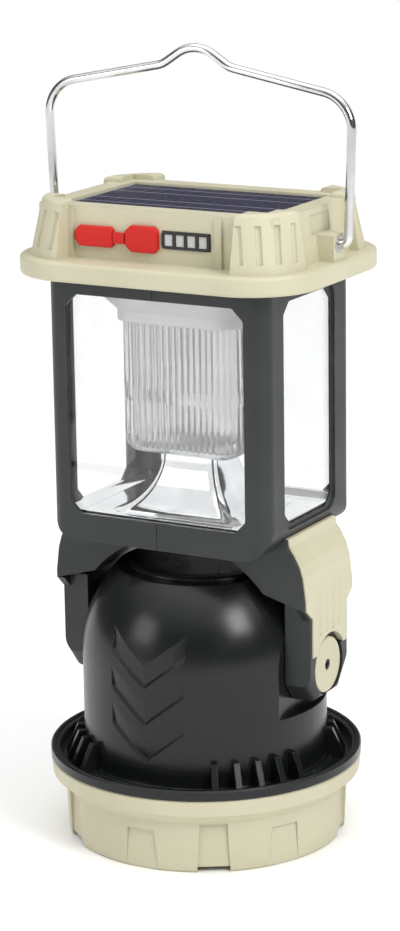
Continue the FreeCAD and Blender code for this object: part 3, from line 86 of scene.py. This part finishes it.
class Finish:
    """A material and short ways to add nodes to it. Noise scales are in waves per metre."""

    def __init__(self, name):
        self.material = bpy.data.materials.new(name)
        self.material.use_nodes = True
        self.tree = self.material.node_tree
        self.shader = self.tree.nodes["Principled BSDF"]
        self.place = self.add("ShaderNodeTexCoord").outputs["Object"]

    def add(self, kind, inputs=None, **settings):
        return add_node(self.tree, kind, inputs or {}, **settings)

    def constants(self, **values):
        for key, value in values.items():
            self.shader.inputs[key.replace("_", " ")].default_value = value

    def link(self, socket, name):
        self.tree.links.new(socket, self.shader.inputs[name])

    def noise(self, scale, detail=2.0, roughness=0.5, stretch=None):
        where = self.place
        if stretch:
            where = self.add("ShaderNodeMapping", {"Vector": where, "Scale": stretch}).outputs["Vector"]
        made = self.add("ShaderNodeTexNoise", {
            "Vector": where, "Scale": scale, "Detail": detail, "Roughness": roughness})
        return made.outputs["Fac"]

    def remap(self, value, span, onto=FULL):
        made = self.add("ShaderNodeMapRange", {
            "Value": value, "From Min": span[0], "From Max": span[1], "To Min": onto[0], "To Max": onto[1]})
        return made.outputs["Result"]

    def math(self, operation, first, second):
        return self.add("ShaderNodeMath", {0: first, 1: second}, operation=operation).outputs[0]

    def mix_colours(self, factor, first, second):
        """The Mix node's colour inputs and output are its numbers 6, 7 and 2."""
        return self.add("ShaderNodeMix", {0: factor, 6: first, 7: second}, data_type="RGBA").outputs[2]

    def rounded(self, radius):
        """A normal that rounds the sharp corners; the radius is in mm."""
        return self.add("ShaderNodeBevel", {"Radius": radius * MM}, samples=4).outputs["Normal"]

    def near_corner(self, rounded):
        """How near a sharp corner each point is, from 0 to 1."""
        true = self.add("ShaderNodeNewGeometry").outputs["Normal"]
        same = self.add("ShaderNodeVectorMath", {0: rounded, 1: true}, operation="DOT_PRODUCT")
        return self.remap(same.outputs["Value"], CORNER_COSINE)

    def bump(self, height, depth, normal=None):
        """A normal raised by the height; the depth is in mm."""
        inputs = {"Height": height, "Distance": depth * MM}
        if normal is not None:
            inputs["Normal"] = normal
        return self.add("ShaderNodeBump", inputs).outputs["Normal"]


# ---------------------------------------------------------------- the materials


def moulded(name, dark, light, wear_and_highlight, rough, grain, edge=0.35, **fixed):
    """Injection-moulded plastic: slow colour drift, a fine spark-eroded skin and lighter sharp corners,
    partly wear and partly a painted highlight along the edges.

    The grain is its size and depth and the edge the radius of the corners, in mm."""
    f = Finish(name)
    f.constants(**fixed)
    normal = f.rounded(edge)
    drift = f.remap(f.noise(24.0, 3.0), (0.35, 0.65))
    fleck = f.remap(f.noise(1400.0), NOISE_BODY)
    shade = f.math("ADD", f.math("MULTIPLY", drift, 0.65), f.math("MULTIPLY", fleck, 0.35))
    colour = f.mix_colours(shade, linear(dark), linear(light))
    patchy = f.remap(f.noise(160.0, 4.0, 0.65), (0.42, 0.68))
    # Sharp corners move towards the third colour: partly real wear, partly a painted highlight along the
    # edges. The same mask makes them a little glossier.
    rubbed_and_highlit = f.math("MULTIPLY", f.math("MULTIPLY", f.near_corner(normal), patchy), 0.55)
    f.link(f.mix_colours(rubbed_and_highlit, colour, linear(wear_and_highlight)), "Base Color")
    smear = f.remap(f.noise(55.0, 4.0, 0.6), NOISE_BODY, rough)
    f.link(f.math("SUBTRACT", smear, f.math("MULTIPLY", rubbed_and_highlit, 0.12)), "Roughness")
    size, depth = grain
    f.link(f.bump(f.noise(1.0 / (size * MM), 2.0, 0.6), depth, normal), "Normal")
    return f.material


def metal(name, dark, light, rough, line_scale, line_depth, stretch=(1, 1, 1)):
    """Bare or plated metal: faint cloudiness and fine drawing lines."""
    f = Finish(name)
    f.constants(Metallic=1.0)
    cloud = f.remap(f.noise(70.0, 3.0), NOISE_BODY)
    f.link(f.mix_colours(cloud, linear(dark), linear(light)), "Base Color")
    lines = f.noise(line_scale, 3.0, 0.6, stretch)
    f.link(f.remap(lines, (0.25, 0.75), rough), "Roughness")
    f.link(f.bump(lines, line_depth, f.rounded(0.25)), "Normal")
    return f.material


def clear(name, dark, light, rough, body=1.0):
    """Clear moulded plastic with handling haze and flow ripple; body under 1 leaves it a little milky."""
    f = Finish(name)
    f.constants(Transmission_Weight=body, IOR=1.46)
    film = f.remap(f.noise(90.0, 4.0, 0.6), NOISE_BODY)
    f.link(f.mix_colours(film, linear(dark), linear(light)), "Base Color")
    f.link(f.remap(f.noise(40.0, 5.0, 0.65), (0.35, 0.75), rough), "Roughness")
    f.link(f.bump(f.noise(60.0, 1.0), 0.003), "Normal")
    return f.material


def board(name, resist, copper):
    """A coated circuit board with buried tracks showing faintly through it."""
    f = Finish(name)
    tracks = f.add("ShaderNodeTexBrick", {
        "Vector": f.place, "Scale": 160.0, "Mortar Size": 0.03,
        "Color1": linear(resist), "Color2": linear(resist), "Mortar": linear(copper)})
    cloud = f.remap(f.noise(120.0), NOISE_BODY, (0.0, 0.25))
    f.link(f.mix_colours(cloud, tracks.outputs["Color"], linear(copper)), "Base Color")
    f.link(f.remap(f.noise(90.0), NOISE_BODY, (0.3, 0.45)), "Roughness")
    f.link(f.bump(f.noise(700.0), 0.02), "Normal")
    return f.material


def silicon_cells():
    """Dark blue silicon under satin resin, with fine silver fingers across each cell."""
    f = Finish("silicon_cells")
    f.constants(Specular_IOR_Level=0.35)
    grain = f.add("ShaderNodeTexVoronoi", {"Vector": f.place, "Scale": 420.0})
    cloud = f.remap(f.noise(300.0), NOISE_BODY)
    crystal = f.mix_colours(cloud, linear((27, 26, 48)), linear((38, 37, 62)))
    glint = f.remap(grain.outputs["Distance"], (0.0, 0.8), (0.0, 0.3))
    flake = f.mix_colours(glint, crystal, linear((52, 51, 80)))
    wave = f.add("ShaderNodeTexWave", {"Vector": f.place, "Scale": 330.0, "Distortion": 0.0},
                 wave_type="BANDS", bands_direction="Y", wave_profile="SIN")
    finger = f.remap(wave.outputs["Fac"], (0.93, 1.0), (0.0, 0.25))
    f.link(f.mix_colours(finger, flake, linear((110, 110, 128))), "Base Color")
    f.link(f.remap(f.noise(60.0, 3.0), NOISE_BODY, (0.3, 0.42)), "Roughness")
    f.link(f.bump(f.noise(500.0), 0.004), "Normal")
    return f.material


# The third colour of each moulded finish goes on its sharp corners: partly wear, partly a painted edge
# highlight.
finishes = {
    "cream_plastic": moulded("cream_abs", (194, 189, 161), (203, 199, 172), (226, 222, 202),
                             (0.42, 0.54), (0.28, 0.012), edge=0.5),
    "charcoal_plastic": moulded("charcoal_abs", (38, 41, 41), (48, 51, 51), (118, 122, 122),
                                (0.36, 0.46), (0.32, 0.014), edge=0.5, Specular_IOR_Level=0.4),
    # The head's copy of the charcoal plastic is darker than the body's as painted shade. It is also
    # glossier.
    "charcoal_shaded_head": moulded("charcoal_shaded_satin", (19, 21, 22), (25, 27, 28), (112, 116, 116),
                             (0.22, 0.29), (0.34, 0.008), edge=0.5, Specular_IOR_Level=0.36),
    "red_rubber": moulded("red_silicone", (196, 26, 20), (208, 34, 26), (236, 110, 96),
                          (0.42, 0.54), (0.35, 0.010), edge=0.4, Specular_IOR_Level=0.3),
    "black_rubber": moulded("black_nitrile", (20, 20, 21), (32, 32, 33), (64, 64, 64),
                            (0.62, 0.78), (0.4, 0.014)),
    "white_plastic": moulded("white_abs", (238, 238, 236), (248, 248, 246), (252, 252, 250),
                             (0.35, 0.5), (0.3, 0.008)),
    "black_plastic": moulded("black_abs", (16, 16, 18), (26, 26, 28), (72, 72, 74),
                             (0.30, 0.42), (0.3, 0.010)),
    "battery_wrap": moulded("cell_wrap", (34, 78, 140), (44, 92, 158), (90, 130, 190),
                            (0.22, 0.34), (0.5, 0.006)),
    "grey_lens": moulded("grey_lens", (176, 176, 175), (198, 198, 196), (220, 220, 219),
                         (0.2, 0.3), (0.6, 0.004), edge=0.25),
    "panel_backing": moulded("panel_backing", (150, 150, 166), (168, 168, 184), (190, 190, 200),
                             (0.34, 0.44), (0.4, 0.006)),
    "chrome_plating": metal("vacuum_chrome", (226, 228, 231), (246, 247, 248), (0.03, 0.09), 60.0, 0.004),
    "chrome_wire": metal("drawn_chrome", (196, 197, 198), (226, 226, 226), (0.06, 0.14), 900.0, 0.004,
                         stretch=(1, 1, 0.15)),
    "steel": metal("zinc_steel", (170, 172, 172), (206, 206, 204), (0.24, 0.40), 1200.0, 0.008),
    "dark_steel": metal("black_oxide_steel", (46, 46, 48), (74, 74, 76), (0.30, 0.46), 1200.0, 0.010),
    "aluminium": metal("turned_aluminium", (186, 188, 190), (214, 216, 218), (0.20, 0.34), 900.0, 0.010,
                       stretch=(1, 1, 6)),
    "clear_plastic": clear("clear_window", (247, 248, 248), (252, 252, 252), (0.01, 0.035)),
    "frosted_plastic": clear("ribbed_window", (250, 250, 250), (254, 254, 254), (0.02, 0.07), body=0.84),
    "white_board": board("white_board", (226, 228, 224), (206, 196, 150)),
    "green_board": board("green_board", (28, 92, 58), (96, 140, 70)),
    "solar_glass": silicon_cells()}

# The head pieces take the darker copy of the charcoal plastic, which paints their shade.
HEAD_NODES = ("head_housing", "gusset_ribs", "head_top_cap")
for name, node in frame["nodes"].items():
    node.data.materials.clear()
    node.data.materials.append(finishes["charcoal_shaded_head" if name in HEAD_NODES else SLOT_OF[name]])


# ---------------------------------------------------------------- mesh helpers


def placed(name, data):
    made = bpy.data.objects.new(name, data)
    bpy.context.scene.collection.objects.link(made)
    return made


def rounded_outline(half_x, half_y, radius, per_corner, per_mm):
    """Points and outward normals round a rounded rectangle, anticlockwise from +X."""
    found = []
    corners = ((half_x - radius, half_y - radius, 0), (radius - half_x, half_y - radius, 90),
               (radius - half_x, radius - half_y, 180), (half_x - radius, radius - half_y, 270))
    for index, (x, y, start) in enumerate(corners):
        for step in range(per_corner + 1):
            angle = math.radians(start + 90 * step / per_corner)
            normal = (math.cos(angle), math.sin(angle))
            found.append(((x + radius * normal[0], y + radius * normal[1]), normal))
        here = found[-1][0]
        next_x, next_y, _ = corners[(index + 1) % 4]
        there = (next_x + radius * normal[0], next_y + radius * normal[1])
        count = max(1, round(math.dist(here, there) * per_mm))
        for step in range(1, count):
            share = step / count
            spot = tuple(a + (b - a) * share for a, b in zip(here, there))
            found.append((spot, normal))
    return found


def ring_shell(rings):
    """The points of equal rings, and faces that join each ring to the next and cap both ends."""
    vertices = [point for ring in rings for point in ring]
    count = len(rings[0])
    faces = []
    for base in range(0, len(vertices) - count, count):
        for i in range(count):
            j = (i + 1) % count
            faces.append((base + i, base + j, base + count + j, base + count + i))
    faces.append(tuple(reversed(range(count))))
    faces.append(tuple(range(len(vertices) - count, len(vertices))))
    return vertices, faces


# ---------------------------------------------------------------- the ribbed diffuser

CUP_CORNER = 8.5
RIB_PITCH = 2.3
RIB_DEPTH = 0.55
POINTS_PER_CORNER = 60
POINTS_PER_MM = 5.0
SMOOTH_BELOW = 50
MERGE_DISTANCE = 1e-6

# Height above the cup's bottom and inset from its outline in mm, and the share of the flutes' depth.
CUP_FLOOR = [(0.0, 6.0, 0.0), (0.4, 4.2, 0.0), (1.3, 2.4, 0.2), (2.8, 1.0, 0.6), (4.8, 0.25, 1.0),
             (7.0, 0.0, 1.0)]
PLAIN_BAND = [(19.0, 0.0, 1.0), (19.8, 0.0, 0.15), (23.4, 0.0, 0.15), (24.2, 0.0, 1.0)]
CUP_WALL = 1.8
CUP_INSIDE = [(7.0, CUP_WALL, 0.0), (3.4, 2.9, 0.0), (1.6, 5.9, 0.0)]
CUP_RIM_LAND = 1.5


def make_diffuser():
    """A clear cup with upright flutes outside, a plain band half way up and a rounded floor."""
    low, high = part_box("ribbed_diffuser")
    outline = rounded_outline(high.x / MM, high.y / MM, CUP_CORNER, POINTS_PER_CORNER, POINTS_PER_MM)
    length = [0.0]
    for (a, _), (b, _) in zip(outline, outline[1:]):
        length.append(length[-1] + math.dist(a, b))
    total = length[-1] + math.dist(outline[-1][0], outline[0][0])
    ribs = round(total / RIB_PITCH)

    def ring(height, inset, flute):
        points = []
        for ((x, y), (nx, ny)), along in zip(outline, length):
            wave = abs(math.cos(math.pi * ribs * along / total))
            depth = inset + flute * RIB_DEPTH * (1 - wave)
            points.append(((x - nx * depth) * MM, (y - ny * depth) * MM, low.z + height * MM))
        return points

    tall = (high.z - low.z) / MM
    rim = [(tall - CUP_RIM_LAND, 0.0, 1.0), (tall, 0.0, 1.0), (tall, CUP_WALL, 0.0)]
    vertices, faces = ring_shell([ring(*level) for level in CUP_FLOOR + PLAIN_BAND + rim + CUP_INSIDE])
    mesh = bpy.data.meshes.new("diffuser_cup")
    mesh.from_pydata(vertices, [], faces)
    mesh.validate()
    mesh.materials.append(finishes["frosted_plastic"])
    bm = bmesh.new()
    bm.from_mesh(mesh)
    bmesh.ops.remove_doubles(bm, verts=bm.verts, dist=MERGE_DISTANCE)
    bmesh.ops.recalc_face_normals(bm, faces=bm.faces)
    bm.to_mesh(mesh)
    bm.free()
    for polygon in mesh.polygons:
        polygon.use_smooth = True
    mesh.set_sharp_from_angle(angle=math.radians(SMOOTH_BELOW))
    made = placed("diffuser_cup", mesh)
    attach(made, "lantern_body")
    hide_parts("ribbed_diffuser")


make_diffuser()


# ---------------------------------------------------------------- the solar panel

PANEL_MARGIN = 1.2 * MM
COLUMNS = 12
COLUMN_GAP = 0.5 * MM
MIDDLE_GAP = 0.4 * MM
BAR_HALF_WIDTH = 0.12 * MM
BAR_PLACES = (0.3, 0.7)
# Heights above the backing's face, which is this far below the top of the CAD panel.
FACE_DEPTH = 0.35 * MM
CELL_SPAN = (-0.05 * MM, 0.2 * MM)
BAR_SPAN = (0.15 * MM, 0.26 * MM)
BACKING, CELLS = 0, 1


def bevelled_block(bm, low, high, bevel, slot):
    """A box with a chamfered top edge."""
    (x0, y0, z0), (x1, y1, z1) = low, high
    rings = []
    for z, inset in ((z0, 0.0), (z1 - bevel, 0.0), (z1, bevel)):
        rings.append([bm.verts.new(p) for p in (
            (x0 + inset, y0 + inset, z), (x1 - inset, y0 + inset, z),
            (x1 - inset, y1 - inset, z), (x0 + inset, y1 - inset, z))])
    for a, b in zip(rings, rings[1:]):
        for i in range(4):
            j = (i + 1) % 4
            bm.faces.new((a[i], a[j], b[j], b[i])).material_index = slot
    bm.faces.new(tuple(reversed(rings[0]))).material_index = slot
    bm.faces.new(rings[-1]).material_index = slot


def make_solar_panel():
    """A backing sheet with two rows of cells and silver bars across them."""
    low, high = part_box("solar_panel")
    face = high.z - FACE_DEPTH
    left, right = low.x + PANEL_MARGIN, high.x - PANEL_MARGIN
    pitch = (right - left + COLUMN_GAP) / COLUMNS
    bm = bmesh.new()
    bevelled_block(bm, low, (high.x, high.y, face), 0.2 * MM, BACKING)
    for row in (-1, 1):
        near, far = sorted((row * MIDDLE_GAP, row * (high.y - PANEL_MARGIN)))
        for column in range(COLUMNS):
            x = left + column * pitch
            bevelled_block(bm, (x, near, face + CELL_SPAN[0]),
                           (x + pitch - COLUMN_GAP, far, face + CELL_SPAN[1]), 0.06 * MM, CELLS)
    for row in (-1, 1):
        for share in BAR_PLACES:
            y = row * (COLUMN_GAP + (high.y - PANEL_MARGIN - COLUMN_GAP) * share)
            bevelled_block(bm, (left, y - BAR_HALF_WIDTH, face + BAR_SPAN[0]),
                           (right, y + BAR_HALF_WIDTH, face + BAR_SPAN[1]), 0.04 * MM, BACKING)
    mesh = bpy.data.meshes.new("cell_panel")
    bm.to_mesh(mesh)
    bm.free()
    for finish in ("panel_backing", "solar_glass"):
        mesh.materials.append(finishes[finish])
    made = placed("cell_panel", mesh)
    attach(made, "lantern_body")
    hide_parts("solar_panel")


make_solar_panel()


# ---------------------------------------------------------------- floor and light

FLOOR_HALF = 6.0
WALL_LIGHT, CEILING_LIGHT = 0.12, 1.3
CEILING_EDGE = (0.38, 0.85)
# Size, power in watts and place of each softbox, in metres.
SOFTBOXES = {"right_softbox": ((0.32, 0.4), 5.5, (0.83, -0.35, 0.71)),
             "left_softbox": ((0.4, 0.4), 2.0, (-0.57, -0.86, 0.46))}
SOFTBOX_TARGET = Vector((0, 0, 0.12))
SKY_STRENGTH, SKY_WIDTH, SKY_HEIGHT = 0.55, 70, 2.0


def make_floor():
    h = FLOOR_HALF
    mesh = bpy.data.meshes.new("studio_floor")
    mesh.from_pydata([(-h, -h, 0), (h, -h, 0), (h, h, 0), (-h, h, 0)], [], [(0, 1, 2, 3)])
    f = Finish("pale_paper")
    f.constants(Roughness=0.9, Specular_IOR_Level=0.0)
    f.link(f.mix_colours(f.noise(9.0), linear((251, 251, 251)), linear((254, 254, 254))), "Base Color")
    mesh.materials.append(f.material)
    placed("studio_floor", mesh)


def make_softboxes():
    for name, (size, power, where) in SOFTBOXES.items():
        data = bpy.data.lights.new(name, "AREA")
        data.shape = "RECTANGLE"
        data.size, data.size_y = size
        data.energy = power
        made = placed(name, data)
        made.location = where
        made.rotation_euler = (SOFTBOX_TARGET - Vector(where)).to_track_quat("-Z", "Y").to_euler()


def make_sky_light():
    """A very wide soft light straight above, which keeps the floor white out to the horizon."""
    data = bpy.data.lights.new("overhead_sky", "SUN")
    data.energy = SKY_STRENGTH
    data.angle = math.radians(SKY_WIDTH)
    placed("overhead_sky", data).location.z = SKY_HEIGHT


def make_world():
    """A bright studio ceiling over dim walls; straight through clear plastic it is plain white."""
    world = bpy.data.worlds.new("studio")
    bpy.context.scene.world = world
    world.use_nodes = True
    tree = world.node_tree
    path = add_node(tree, "ShaderNodeLightPath", {})
    place = add_node(tree, "ShaderNodeTexCoord", {}).outputs["Generated"]
    height = add_node(tree, "ShaderNodeSeparateXYZ", {0: place}).outputs["Z"]
    sky = add_node(tree, "ShaderNodeMapRange", {
        "Value": height, "From Min": CEILING_EDGE[0], "From Max": CEILING_EDGE[1],
        "To Min": WALL_LIGHT, "To Max": CEILING_LIGHT}, interpolation_type="SMOOTHSTEP").outputs["Result"]
    seen = add_node(tree, "ShaderNodeMath", {
        0: path.outputs["Is Camera Ray"], 1: path.outputs["Is Transmission Ray"]}, operation="MAXIMUM")
    strength = add_node(tree, "ShaderNodeMath", {0: seen.outputs[0], 1: sky}, operation="MAXIMUM")
    background = tree.nodes["Background"]
    plug(tree, background.inputs["Color"], (1, 1, 1, 1))
    plug(tree, background.inputs["Strength"], strength.outputs[0])


make_floor()
make_world()
make_softboxes()
make_sky_light()


# ---------------------------------------------------------------- camera

AZIMUTH, ELEVATION, ROLL = (math.radians(a) for a in (29.22, 14.26, -0.89))
DISTANCE = 1.03439
TARGET = Vector((-0.00075, 0.0, 0.13261))
LENS, SENSOR, NEAREST = 114.0, 36.0, 0.01


def make_camera():
    data = bpy.data.cameras.new("studio_camera")
    data.sensor_fit = "VERTICAL"
    data.sensor_height = SENSOR
    data.lens = LENS
    data.clip_start = NEAREST
    made = placed("studio_camera", data)
    toward = Vector((math.sin(AZIMUTH) * math.cos(ELEVATION), -math.cos(AZIMUTH) * math.cos(ELEVATION),
                     math.sin(ELEVATION)))
    level = (-toward).to_track_quat("-Z", "Y").to_matrix()
    turned = level @ Matrix.Rotation(ROLL, 3, "Z")
    made.matrix_world = Matrix.Translation(TARGET + toward * DISTANCE) @ turned.to_4x4()
    bpy.context.scene.camera = made


make_camera()
view = bpy.context.scene.view_settings
view.view_transform = "Standard"
view.look = "None"
